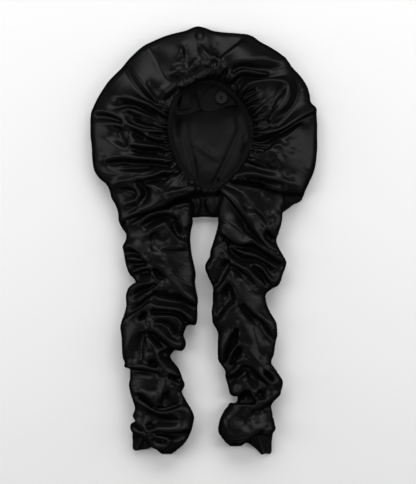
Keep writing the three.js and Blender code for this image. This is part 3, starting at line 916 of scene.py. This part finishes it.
rightRows = [
    (90, 17, 110, 27, -0.12), (78, 20, 114, 35, -0.1), (58, 20, 117, 38, -0.05), (42, 19, 115, 38, 0),
    (26, 20, 113, 38, 0), (12, 17, 110, 37, 0), (0, 14, 108, 37, 0), (-12, 13, 111, 37, 0),
    (-24, 13, 115, 38, 0), (-38, 6, 118, 38, 0), (-50, 8, 114, 38, 0), (-60, 11, 109, 37, 0),
    (-70, 14, 99, 35, 0), (-78, 16, 92, 35, 0), (-92, 13, 92, 36, 0), (-106, 9, 97, 36, 0),
    (-122, 11, 105, 37, 0), (-136, 19, 106, 36, 0), (-152, 20, 105, 36, 0), (-168, 22, 103, 35, 0),
    (-184, 26, 99, 34, 0), (-196, 33, 107, 34, 0), (-210, 35, 114, 34, 0), (-224, 40, 108, 33, 0),
    (-236, 46, 104, 31, 0), (-246, 41, 102, 33, 0), (-256, 31, 101, 36, 0), (-266, 24, 99, 38, 0),
    (-275, 21, 102, 38, 0), (-282, 20, 103, 37, 0), (-288, 21, 92, 35, 0), (-293, 24, 77, 32, 0),
    (-300, 29, 65, 26, 0), (-308, 37, 55, 14, 0),
]

leftFolds = [
    (6, (-20, 58), (-34, 54), (-47, 51), (-54, 46)),
    (-8, (-18, 70), (-40, 63), (-59, 55), (-76, 48), (-97, 38), (-112, 30)),
    (7, (-42, 37), (-52, 42.5), (-66, 43.5), (-81, 40), (-94, 30), (-107, 25)),
    (-6, (-48, 34), (-60, 36.5), (-72, 33), (-88, 24)),
    (7, (-60, 26), (-67, 21.5), (-80, 13.5), (-91, 5)),
    (-6, (-46, 32), (-44, 20), (-39, 8)),
    (6, (-38, 46), (-37.5, 36), (-36, 24), (-30, 13.5)),
    (6, (-33, 51), (-27.5, 38), (-25.5, 28), (-27, 16)),
    (7, (-62, 20), (-56, 17), (-50.5, 10), (-43, 1.5), (-30, -7)),
    (4, (-69, 17), (-64, 9), (-60, 0)),
    (-4, (-74.5, 10), (-74, -2), (-74, -13)),
    (5, (-60, -9.8), (-45, -9.5), (-31, -9)),
    (0, (-62, -16), (-48, -17), (-31, -16)),
    (2, (-55, -30), (-40, -32), (-24, -34)),
    (2, (-48, -48), (-36, -56), (-22, -66)),
    (4, (-72, -18), (-66.5, -26), (-64, -33)),
    (8, (-116, -9.5), (-109, -6), (-99.5, -11.5), (-92, -23), (-83, -34)),
    (4, (-90, -21), (-77, -15.5)),
    (-5, (-114, -17.5), (-104, -18), (-97, -24)),
    (4, (-114, -26.5), (-104, -26.5), (-94, -29)),
    (-7, (-111, -35), (-100, -35.5), (-89, -34.5)),
    (6, (-105, -46), (-94, -40), (-83, -37.5), (-79, -41), (-77, -50), (-69, -59)),
    (-10, (-102, -52), (-92, -46), (-82, -46)),
    (7, (-73, -35), (-71, -40), (-60, -51), (-45, -67), (-30, -80), (-16, -92)),
    (-8, (-75, -44), (-63, -55)),
    (5, (-63, -61), (-56, -70), (-52, -76)),
    (-10, (-76, -81), (-59, -87), (-32, -91), (-18, -99)),
    (6, (-68, -59), (-83, -64), (-94, -66), (-104, -71), (-113, -78)),
    (-8, (-76, -67), (-94, -71), (-106, -79)),
    (4, (-70, -70), (-80, -71)),
    (5, (-80, -77), (-87, -80), (-99, -91)),
    (-4, (-84, -86), (-98, -99), (-112, -106)),
    (6, (-84, -95), (-94, -102), (-105, -110), (-117, -123), (-122, -130)),
    (4, (-91, -102), (-101, -113), (-105, -121), (-88, -119)),
    (-5, (-88, -108), (-96, -116)),
    (7, (-80, -95), (-76, -99), (-54, -101), (-36, -103), (-27, -113), (-17, -124)),
    (-7, (-76, -105), (-50, -106), (-36, -110), (-28, -121), (-22, -130)),
    (7, (-83, -114), (-65, -112), (-45, -113), (-38, -120), (-37, -132), (-39, -144)),
    (-4, (-70, -122), (-52, -128), (-48, -142)),
    (9, (-85, -104), (-85, -119), (-79, -131), (-68, -138), (-54, -149), (-36, -161)),
    (-8, (-79, -137), (-72, -147), (-60, -156)),
    (6, (-89, -126), (-100, -131), (-108, -138), (-113, -151), (-115, -165), (-117, -181)),
    (-4, (-92, -140), (-98, -160), (-96, -176)),
    (8, (-115, -187), (-95, -188), (-74, -192), (-68, -190)),
    (-4, (-113, -192), (-88, -194.5), (-74, -197)),
    (1, (-106, -204), (-88, -207), (-70, -210)),
    (2, (-106, -215), (-90, -217), (-74, -222)),
    (5, (-81, -165), (-86, -180)),
    (-7, (-78, -181), (-75, -186)),
    (7, (-83, -145), (-77, -161), (-69, -181), (-57, -197), (-42, -202)),
    (-9, (-62, -168), (-46, -170), (-38, -173)),
    (-9, (-52, -201), (-42, -207)),
    (5, (-54, -206), (-44, -212), (-36, -215)),
    (7, (-58, -200), (-58, -210), (-64, -230), (-71, -247)),
    (-7, (-61, -228), (-63, -245)),
    (5, (-49, -214), (-42, -226), (-38, -238)),
    (6, (-74, -245), (-81, -237), (-89, -228), (-98, -223), (-104, -229)),
    (-6, (-78, -247), (-88, -236), (-96, -231)),
    (8, (-99, -237), (-89, -243), (-79, -250), (-67, -255), (-51, -253),
        (-36, -248), (-28, -254), (-23, -265)),
    (-8, (-72, -250), (-58, -251), (-42, -246)),
    (-5, (-84, -258), (-64, -268), (-44, -268)),
    (7, (-89, -283), (-77, -279), (-62, -281), (-42, -281), (-25, -277)),
    (-8, (-84, -277), (-78, -276)),
    (-7, (-70, -287), (-42, -290), (-30, -291)),
    (8, (-84, -289), (-80, -298), (-70, -304), (-59, -304), (-52.5, -299),
        (-55, -293.5), (-65, -289), (-75, -291)),
    (-3, (-72, -297), (-62, -298)),
    (5, (-51, -300), (-58, -309), (-62, -315)),
    (5, (-90, -281), (-98, -272), (-105, -262)),
    (-6, (-90, -283), (-99, -277), (-107, -268)),
    (5, (-91, -284.5), (-100, -282), (-108, -276)),
]

rightFolds = [
    (-4, (33, 84), (47, 79), (62, 71), (72, 62), (75, 50), (88, 41), (94, 28)),
    (9, (26, 76), (40, 64), (52, 47), (67, 26), (79, 9), (92, -8), (103, -15)),
    (-6, (22, 71), (35, 58), (46, 44), (58, 29), (70, 11), (85, -9), (104, -21)),
    (4, (68, 46), (78, 36), (86, 20)),
    (-1, (62, 52), (67, 48), (72, 44)),
    (-3, (84, 71), (97, 61)),
    (3, (111, 80), (114, 65), (113, 50)),
    (6, (100, 39), (107, 38), (106, 28), (99, 20), (97, 14), (103, 8)),
    (-6, (92, 12), (98, 4), (104, 1)),
    (3, (31, 30), (45, 21.5), (56, 13), (67, 4.5)),
    (9, (67, 4.5), (87, -10), (103, -21), (115, -33)),
    (10, (30, 24), (32, 12), (38, 4), (48, -2), (58, -4), (68, -1)),
    (-9, (30, 3), (40, -6), (52, -11), (67, -9), (82, -17), (100, -29), (112, -38)),
    (4, (40, -5), (60, -20), (71, -21), (88, -28), (102, -37), (115, -39)),
    (-9, (38, -14), (54, -27), (70, -28), (86, -34)),
    (7, (74, -34), (81, -37), (89, -48), (95, -59), (103, -62), (110, -60)),
    (-8, (73, -39), (85, -49), (92, -62)),
    (-5, (91, -36), (99, -49)),
    (7, (31, -2), (29, -16), (36, -30), (49, -37), (63, -46), (74, -55), (88, -67)),
    (-6, (43, -39), (54, -46), (60, -55), (68, -68)),
    (9, (38, -56), (45, -71), (54, -88), (68, -102), (82, -114), (100, -126)),
    (5, (58, -55), (70, -72), (82, -80)),
    (5, (33, 2), (21, -10), (10, -26), (6, -41), (11, -60)),
    (5, (28, -21), (17, -23), (10, -35)),
    (-9, (36, -31), (27, -44), (20, -56), (17, -65)),
    (4, (41, -44), (35, -52), (36, -63)),
    (7, (35, -55), (25, -69), (17, -83)),
    (-9, (34, -69), (35, -83), (40, -89)),
    (7, (52, -91), (38, -101), (32, -113), (25, -128)),
    (-9, (27, -96), (18, -103), (13, -113)),
    (6, (51, -103), (50, -116), (43, -130)),
    (5, (53, -117), (60, -131), (64, -142), (62, -151)),
    (-4, (56, -96), (68, -110), (78, -122)),
    (-4, (80, -118), (92, -138), (100, -146)),
    (5, (88, -108), (96, -124), (103, -142)),
    (7, (52, -118), (40, -135), (32, -151), (28, -165), (26, -178)),
    (-9, (48, -132), (42, -148), (35, -168), (31, -182)),
    (5, (50, -118), (50, -136), (55, -151)),
    (6, (55, -151), (65, -165), (77, -178), (85, -185), (98, -191)),
    (2, (72, -128), (78, -150), (84, -170)),
    (2, (92, -150), (98, -172)),
    (6, (92, -192), (100, -200), (105, -210), (101, -212), (85, -202), (77, -189), (65, -175)),
    (-6, (92, -197), (99, -207)),
    (6, (54, -152), (42, -162), (38, -171), (38, -181)),
    (-7, (50, -160), (45, -172), (40, -186)),
    (6, (64, -174), (54, -179), (42, -178)),
    (6, (62, -182), (52, -189), (41, -198), (34, -204)),
    (-7, (60, -187), (50, -198), (40, -207)),
    (6, (60, -194), (49, -205), (47, -211)),
    (6, (61, -212), (54, -224), (47, -227), (38, -225)),
    (-8, (66, -196), (76, -206), (86, -212)),
    (7, (62, -214), (71, -224), (77, -235), (78, -247)),
    (8, (110, -221), (94, -235), (77, -247)),
    (-7, (86, -226), (80, -232)),
    (-10, (63, -228), (54, -241)),
    (-10, (63, -228), (72, -241)),
    (7, (42, -247), (58, -246), (74, -246)),
    (-9, (44, -240), (58, -240), (73, -240)),
    (7, (38, -299), (55, -291), (70, -286), (87.5, -277), (97.5, -268)),
    (-6, (50, -298), (66, -292), (82, -284)),
    (-5, (75, -254), (76, -266)),
    (5, (34, -258), (33, -272), (38, -290)),
    (-3, (58, -264), (62, -276)),
    (-6, (88, -252), (99, -248)),
    (6, (84, -281), (90, -285), (94, -281), (90, -277)),
]


# A tube lying on the floor: its section is an ellipse that bulges, with a flat underside. Columns
# start at the middle of the top, and rows follow the table down the sleeve
def sleeveEnvelope(table):
    y, left, right, high, lean = (np.array(column, float) for column in zip(*table))
    at = np.linspace(y[0], y[-1], sleeve["rows"])
    left, right, high, lean = (through(-at, -y, column) for column in (left, right, high, lean))
    turn = circle(sleeve["columns"]) + np.pi / 2
    c, s = np.cos(turn), np.sin(turn)
    middle = ((right + left) / 2)[:, None]
    half = ((right - left) / 2)[:, None]
    side = (high * sleeve["sideHeight"])[:, None]
    x = middle + half * np.sign(c) * np.abs(c) ** sleeve["topRound"]
    top = side + (high[:, None] - side) * np.abs(s) ** sleeve["topRound"]
    under = side * (1 - np.minimum(1, np.abs(s) * sleeve["underside"]))
    z = np.where(s >= 0, top, under)
    along = at[:, None] + lean[:, None] * (x - middle)
    return np.stack([x, np.broadcast_to(along, x.shape), z], -1), s


# One sleeve: folds stand out from the tube, no higher than they level off to, the cloth settles, and
# the wall's inner side closes it
def makeSleeve(name, node, table, folds):
    smooth, s = sleeveEnvelope(table)
    upRow = sleeve["rows"] // 2
    outward = facingUp(smooth, upRow)
    upper = np.broadcast_to(s > sleeve["foldsDownTo"], smooth.shape[:2])
    relief = sleeve["relief"] * soften(stretchSkin(smooth, *foldTargets(smooth, folds, upper)), 1)
    relief = sleeve["tallest"] * np.tanh(relief / sleeve["tallest"])
    placed = smooth + outward * relief[..., None]
    placed[..., 2] = np.maximum(placed[..., 2], cloth["floor"])
    report(f"{name} folds")
    restRound, restDown = (step(placed) * sleeve["spare"] for step in (stepRound, stepDown))
    placed = relaxCloth(placed, restRound, restDown, sleeve["steps"], sleeve["hold"])
    report(f"{name} cloth")
    inner = (placed - facingUp(placed, upRow) * sleeve["cloth"])[::2]
    inner[..., 2] = np.maximum(inner[..., 2], cloth["floor"] + sleeve["cloth"])
    shell = np.concatenate([placed[::-1], inner])
    piece = gridMesh(name, shell, [satinCloth, liningCloth], sleeve["weave"], sleeve["rows"])
    place(piece, "satin", node)


makeSleeve("left_sleeve", "sleeve_left", leftRows, leftFolds)
makeSleeve("right_sleeve", "sleeve_right", rightRows, rightFolds)

# Band

band = {
    "columns": 720,
    "rows": 44,
    "inset": 1.3,
    "width": 8.2,
    "high": 29.2,
    "fall": 2.2,  # how much lower its inner edge lies
    "thick": 1.3,
    "ribs": 5,
    "ribHigh": 0.16,
    "puckers": 54,
    "puckerHigh": 0.35,
    "puckerFade": 0.6,  # share of it lost towards the inner edge
    "uneven": (0.6, 1.4),
    "seed": 11,
    "square": (0.6, 0.5),  # under 1 is nearer an oblong, across and up
    "weave": (0.0006, 0.0005),
}


# A flat strip of knitted elastic round the opening: its section is a rounded oblong whose upper side
# carries ribs, and it puckers a little between the stitches that hold the satin
def makeBand():
    angle = np.arange(band["columns"]) * 360 / band["columns"]
    c, s = spokes(circle(band["rows"])).T
    share = 0.5 - 0.5 * np.sign(c) * np.abs(c) ** band["square"][0]
    lift = np.sign(s) * np.abs(s) ** band["square"][1] * band["thick"] / 2
    ribs = np.where(lift > 0, band["ribHigh"] * np.abs(np.sin(np.pi * band["ribs"] * share)), 0)
    random = np.random.default_rng(band["seed"])
    marks = unevenMarks(random.uniform(*band["uneven"], band["puckers"]), 360)
    pucker = band["puckerHigh"] * np.cos(waveTurn(angle, marks))
    plan = np.stack([openingPoints(angle, band["inset"] + band["width"] * s) for s in share])
    high = band["high"] - band["thick"] / 2 - band["fall"] * share + lift + ribs
    high = high[:, None] + pucker * (1 - band["puckerFade"] * share[:, None])
    grid = np.concatenate([plan, high[..., None]], -1)
    piece = gridMesh("face_band", grid, [elasticKnit], band["weave"], looped=True)
    place(piece, "elastic", "face_band")


makeBand()

# Flap

flap = {
    "columns": 220,
    "rows": 90,
    "cloth": 1.1,
    "inset": 4.5,
    "high": 22.4,
    "low": 21.6,
    "turns": (150, 36),  # degrees round the opening at its left and right end
    "tongueHigh": 1.1,
    "grooveDeep": 1.3,
    "grooveWide": 1.3,
    "stepEdge": (-0.7, 0.9),  # the step rises over this stretch about the tongue's edge
    "foldEdge": (-6, 2),  # the folds die away over this stretch onto the tongue
    "foldStart": 0.12,  # share of the way down over which the folds grow
    "weave": (0.0005, 0.0005),
}

# Lower edge of the flap from left to right
flapHem = [
    (-46, 189.5), (-40, 188.5), (-34, 189), (-24, 190.7), (-16, 193), (-11, 195.3), (-7, 196.3),
    (0, 194.5), (7, 193.8), (14.2, 194.8), (20, 196.8), (25.8, 199), (32, 201.5), (39.2, 203.2),
    (47.5, 203.2), (53, 200.5), (57, 197.5),
]

# Edge of the tongue that carries the button: degrees round the button, reach
tongueEdge = [
    (-164, 35), (-141, 33), (-118, 26), (-85, 22), (-60, 24), (-36, 27), (-23, 24), (-6, 17), (18, 15),
    (42, 15), (64, 15.5), (85, 16.8), (115, 20.3), (139, 22.7), (165, 26.5), (183, 31),
]

# Folds of the flap, as on the cap
flapFolds = [
    (-4.5, (-36, 225), (-40, 210), (-43, 197)),
    (3, (-33, 225), (-33, 212), (-34, 196)),
    (2, (-46, 206), (-49, 196)),
    (-5, (-19, 228), (-15, 208), (-10.5, 197)),
    (2, (-26, 224), (-25, 208), (-26, 197)),
    (1.5, (-10, 224), (-7, 212)),
    (2.5, (-47, 190), (-34, 190), (-24, 191.7), (-13, 195)),
    (-2, (-46, 193.5), (-34, 193.5), (-24, 195), (-16, 198)),
    (1, (4, 196), (14, 196), (26, 200), (38, 204), (47, 204)),
]


# The facing's upper side runs from under the band to its hem. The tongue is a second layer on it: a
# step at its edge, with a groove just outside
def makeFlap():
    along = np.linspace(0, 1, flap["columns"])
    left, right = flap["turns"]
    start = openingPoints(left + (right - left) * along, flap["inset"])
    hem = alongProfile(flapHem, flap["columns"])
    share = np.linspace(0, 1, flap["rows"])[:, None, None]
    plan = start * (1 - share) + hem * share
    high = np.broadcast_to(flap["high"] + (flap["low"] - flap["high"]) * share, (*plan.shape[:2], 1))
    smooth = np.concatenate([plan, high], -1)
    relief = soften(stretchSkin(smooth, *foldTargets(smooth, flapFolds), loose=True), 1)
    relief *= easeIn(share[..., 0], 0, flap["foldStart"])
    aside = plan - button["centre"]
    reach = np.linalg.norm(aside, axis=-1)
    turn = np.degrees(np.arctan2(aside[..., 1], aside[..., 0]))
    out = reach - through(turn, *zip(*tongueEdge), 360)
    relief *= easeIn(out, *flap["foldEdge"])
    step = flap["tongueHigh"] * easeIn(-out, *flap["stepEdge"])
    groove = flap["grooveDeep"] * np.exp(-(((out - flap["grooveWide"]) / flap["grooveWide"]) ** 2))
    top = smooth.copy()
    top[..., 2] += relief + step - groove
    under = smooth - [0, 0, flap["cloth"]]
    under[..., 2] += np.minimum(relief - groove, 0)
    piece = sheetMesh("button_flap", top, under, [flapCloth, liningCloth], flap["weave"])
    place(piece, "elastic", "button_flap")


# Button

button = {
    "centre": (24.5, 214),
    "columns": 150,
    "rows": 110,
    "turn": 0.55,  # turn of its holes
    "holeOut": 2.3,
    "holeRadius": 0.95,
    "holeEdge": 0.12,
    "holeDeep": 1.5,
    "weave": (0.0003, 0.0003),
}

# Half section of the button from the middle of its face over the rim to the middle of its back
buttonSection = [
    (0.03, 26.2), (1.5, 26.2), (3.4, 26.25), (4.1, 26.7), (4.7, 27.0), (5.3, 26.8), (6.1, 26.3),
    (6.9, 26.9), (7.6, 27.7), (8.2, 27.7), (8.7, 27.1), (8.8, 26.2), (8.5, 25.2), (7.6, 24.7),
    (4, 24.6), (0.03, 24.6),
]


# Middles of the button's four holes in plan
def buttonHoles():
    return np.array(button["centre"]) + button["holeOut"] * spokes(button["turn"] + circle(4))


# A turned disc with a raised rim and a dished middle, and four holes sunk into it
def makeButton():
    section = alongProfile(buttonSection, button["rows"])
    plan = np.array(button["centre"]) + section[:, :1, None] * spokes(circle(button["columns"]))
    away = np.linalg.norm(plan[..., None, :] - buttonHoles(), axis=-1).min(-1)
    face = np.arange(button["rows"])[:, None] < section[:, 0].argmax()
    edge = button["holeEdge"]
    sunk = np.where(face, button["holeDeep"] * easeIn(button["holeRadius"] - away, -edge, edge), 0)
    grid = np.concatenate([plan, (section[:, 1:] - sunk)[..., None]], -1)
    place(gridMesh("button", grid, [buttonPlastic], button["weave"]), "button_plastic", "button")


makeFlap()
makeButton()

# Thread

strand = {
    "radius": 0.42,
    "sides": 20,
    "rings": 90,
    "twists": 9,
    "plies": 0.07,
    "bend": [(0, 23.6), (0, 25.2), (0.1, 26.1)],  # its way up at each end: in from the hole, height
    "crest": (0.45, 0.25),  # where it levels off: in from the hole, below its top
    "top": 26.9,
    "over": 0.75,
    "weave": (0.0001, 0.0001),
}


# A tube of two plies along a line that lies in an upright plane: rings square to the line, whose
# radius waves twice round each ring and turns along the line
def makeStrand(name, start, end, top):
    span = np.linalg.norm(end - start)
    across = (end - start) / span
    bend = strand["bend"] + [(strand["crest"][0], top - strand["crest"][1])]
    corners = bend + [(span / 2, top)] + [(span - x, z) for x, z in bend[::-1]]
    line = alongProfile(corners, strand["rings"])
    ahead = np.gradient(line, axis=0)
    ahead /= np.linalg.norm(ahead, axis=1, keepdims=True)
    turn = circle(strand["sides"])
    twist = 2 * np.pi * strand["twists"] * np.linspace(0, 1, strand["rings"])[:, None]
    radius = strand["radius"] * (1 + strand["plies"] * np.cos(2 * turn - twist))
    out = radius * np.cos(turn)
    side = radius * np.sin(turn)
    flat = line[:, :1] - out * ahead[:, 1:]
    z = line[:, 1:] + out * ahead[:, :1]
    plan = start + flat[..., None] * across + side[..., None] * np.array([-across[1], across[0]])
    grid = np.concatenate([plan, z[..., None]], -1)
    place(gridMesh(name, grid, [sewingThread], strand["weave"]), "thread", "button_thread")


holes = buttonHoles()
makeStrand("button_thread_1", holes[0], holes[2], strand["top"])
makeStrand("button_thread_2", holes[1], holes[3], strand["top"] + strand["over"])
report("opening")

# Frills

frill = {
    "rows": 80,
    "columns": 170,
    "cloth": 1.1,
    "pinch": 0.25,  # share of the swing left at the neck
    "slope": 0.7,
    "lean": 0.2,
    "second": 0.4,  # height and pitch of the smaller flutes beside the main ones
    "secondPitch": 1.7,
    "uneven": (0.6, 1.4),
    "lowest": 2,
    "weave": (0.0003, 0.0003),
}

# Each frill: its gathered neck and its hem in plan, heights of both, number of flutes and their
# swing at the hem, the seed of their widths, and the cloth's flat size
frills = [
    {
        "name": "left_frill",
        "node": "end_frill_left",
        "neck": [(-103, -280), (-99, -284), (-94, -287), (-87, -289), (-80, -293)],
        "hem": [(-109.5, -279), (-109, -298), (-107, -314.5), (-96.5, -314.8), (-86, -313), (-77, -307)],
        "heights": (17, 5),
        "flutes": 3,
        "swing": 2.3,
        "seed": 3,
        "flat": (0.065, 0.024),
    },
    {
        "name": "right_frill",
        "node": "end_frill_right",
        "neck": [(98, -279), (93, -283), (87, -286), (76, -289), (62, -292)],
        "hem": [
            (104.5, -280), (102, -292), (100.5, -302), (97.5, -321), (91, -319.5),
            (86, -321.5), (79, -315.5), (72.5, -309.5), (64, -304.5), (57, -303),
        ],
        "heights": (17, 5),
        "flutes": 4,
        "swing": 2.3,
        "seed": 5,
        "flat": (0.075, 0.026),
    },
]


# A fan of cloth between its neck and its hem. Its flutes are a cosine across it, uneven in width,
# with a smaller one of another pitch, that swings up and down and leans sideways towards the hem
def makeFrill(made):
    across = np.linspace(0, 1, frill["columns"])
    down = np.linspace(0, 1, frill["rows"])[:, None]
    plan = alongProfile(made["neck"], frill["columns"]) * (1 - down[..., None])
    plan = plan + alongProfile(made["hem"], frill["columns"]) * down[..., None]
    random = np.random.default_rng(made["seed"])
    phase = waveTurn(across, unevenMarks(random.uniform(*frill["uneven"], made["flutes"])))
    swing = made["swing"] * (frill["pinch"] + (1 - frill["pinch"]) * down**frill["slope"])
    lean = np.gradient(plan, axis=1)
    lean /= np.linalg.norm(lean, axis=-1, keepdims=True)
    plan = plan + lean * (frill["lean"] * swing * np.sin(2 * phase))[..., None]
    flutes = np.cos(phase) + frill["second"] * np.cos(frill["secondPitch"] * phase + made["seed"])
    high = made["heights"][0] * (1 - down) + made["heights"][1] * down + swing * flutes
    top = np.concatenate([plan, np.maximum(high, frill["lowest"])[..., None]], -1)
    under = top - [0, 0, frill["cloth"]]
    piece = sheetMesh(made["name"], top, under, [satinCloth, liningCloth], frill["weave"])
    place(piece, "satin", made["node"])


for made in frills:
    makeFrill(made)
report("frills")

# Light, floor and camera

stage = {
    "viewHeight": 0.726,  # what the frame's long side takes in at the object
    "aim": (0.0045, -0.0015, 0.015),
    "distance": 2.6,
    "sensor": 36,
    "floor": {"Base Color": (0.80, 0.80, 0.80, 1), "Roughness": 0.9, "Specular IOR Level": 0.1},
    "floorHalf": 6,
    "fill": 0.09,
}

# Softboxes: where each stands, what it looks at, its width and height, and its power
softboxes = [
    {"at": (0.0, 1.6, 1.35), "aim": (0, -0.05, 0), "size": (2.6, 1.0), "power": 39},
    {"at": (-1.35, 0.05, 1.0), "aim": (0, 0, 0), "size": (0.7, 1.9), "power": 14.5},
    {"at": (1.35, 0.1, 1.0), "aim": (0, 0, 0), "size": (0.7, 2.0), "power": 15},
    {"at": (0.0, -1.7, 1.2), "aim": (0, 0, 0), "size": (1.8, 0.7), "power": 5},
]


# The floor, the softboxes, each turned to what it looks at, and an even light from all round
def makeStage():
    half = stage["floorHalf"]
    corners = [(-half, -half, 0), (half, -half, 0), (half, half, 0), (-half, half, 0)]
    mesh = bpy.data.meshes.new("floor")
    mesh.from_pydata(corners, [], [(0, 1, 2, 3)])
    floor = bpy.data.objects.new("floor", mesh)
    bpy.context.scene.collection.objects.link(floor)
    mesh.materials.append(Look("floor_paper", stage["floor"]).material)
    for k, box in enumerate(softboxes):
        light = bpy.data.lights.new(f"softbox{k}", "AREA")
        light.shape = "RECTANGLE"
        light.size, light.size_y = box["size"]
        light.energy = box["power"]
        lamp = bpy.data.objects.new(f"softbox{k}", light)
        aim = np.array(box["aim"]) - box["at"]
        lamp.location = box["at"]
        tilt = math.atan2(math.hypot(aim[0], aim[1]), -aim[2])
        lamp.rotation_euler = (tilt, 0, math.atan2(-aim[0], aim[1]))
        bpy.context.scene.collection.objects.link(lamp)
    world = bpy.data.worlds.new("studio")
    world.use_nodes = True
    fill = world.node_tree.nodes["Background"].inputs
    fill["Color"].default_value = (1, 1, 1, 1)
    fill["Strength"].default_value = stage["fill"]
    bpy.context.scene.world = world
    bpy.context.scene.view_settings.view_transform = "Standard"


# A camera that looks straight down, with the lens that takes in the frame's long side
def makeCamera():
    lens = bpy.data.cameras.new("camera")
    lens.sensor_width = stage["sensor"]
    lens.lens = stage["sensor"] * stage["distance"] / stage["viewHeight"]
    camera = bpy.data.objects.new("camera", lens)
    camera.location = np.array(stage["aim"]) + [0, 0, stage["distance"]]
    bpy.context.scene.collection.objects.link(camera)
    bpy.context.scene.camera = camera


makeStage()
makeCamera()
report("stage")
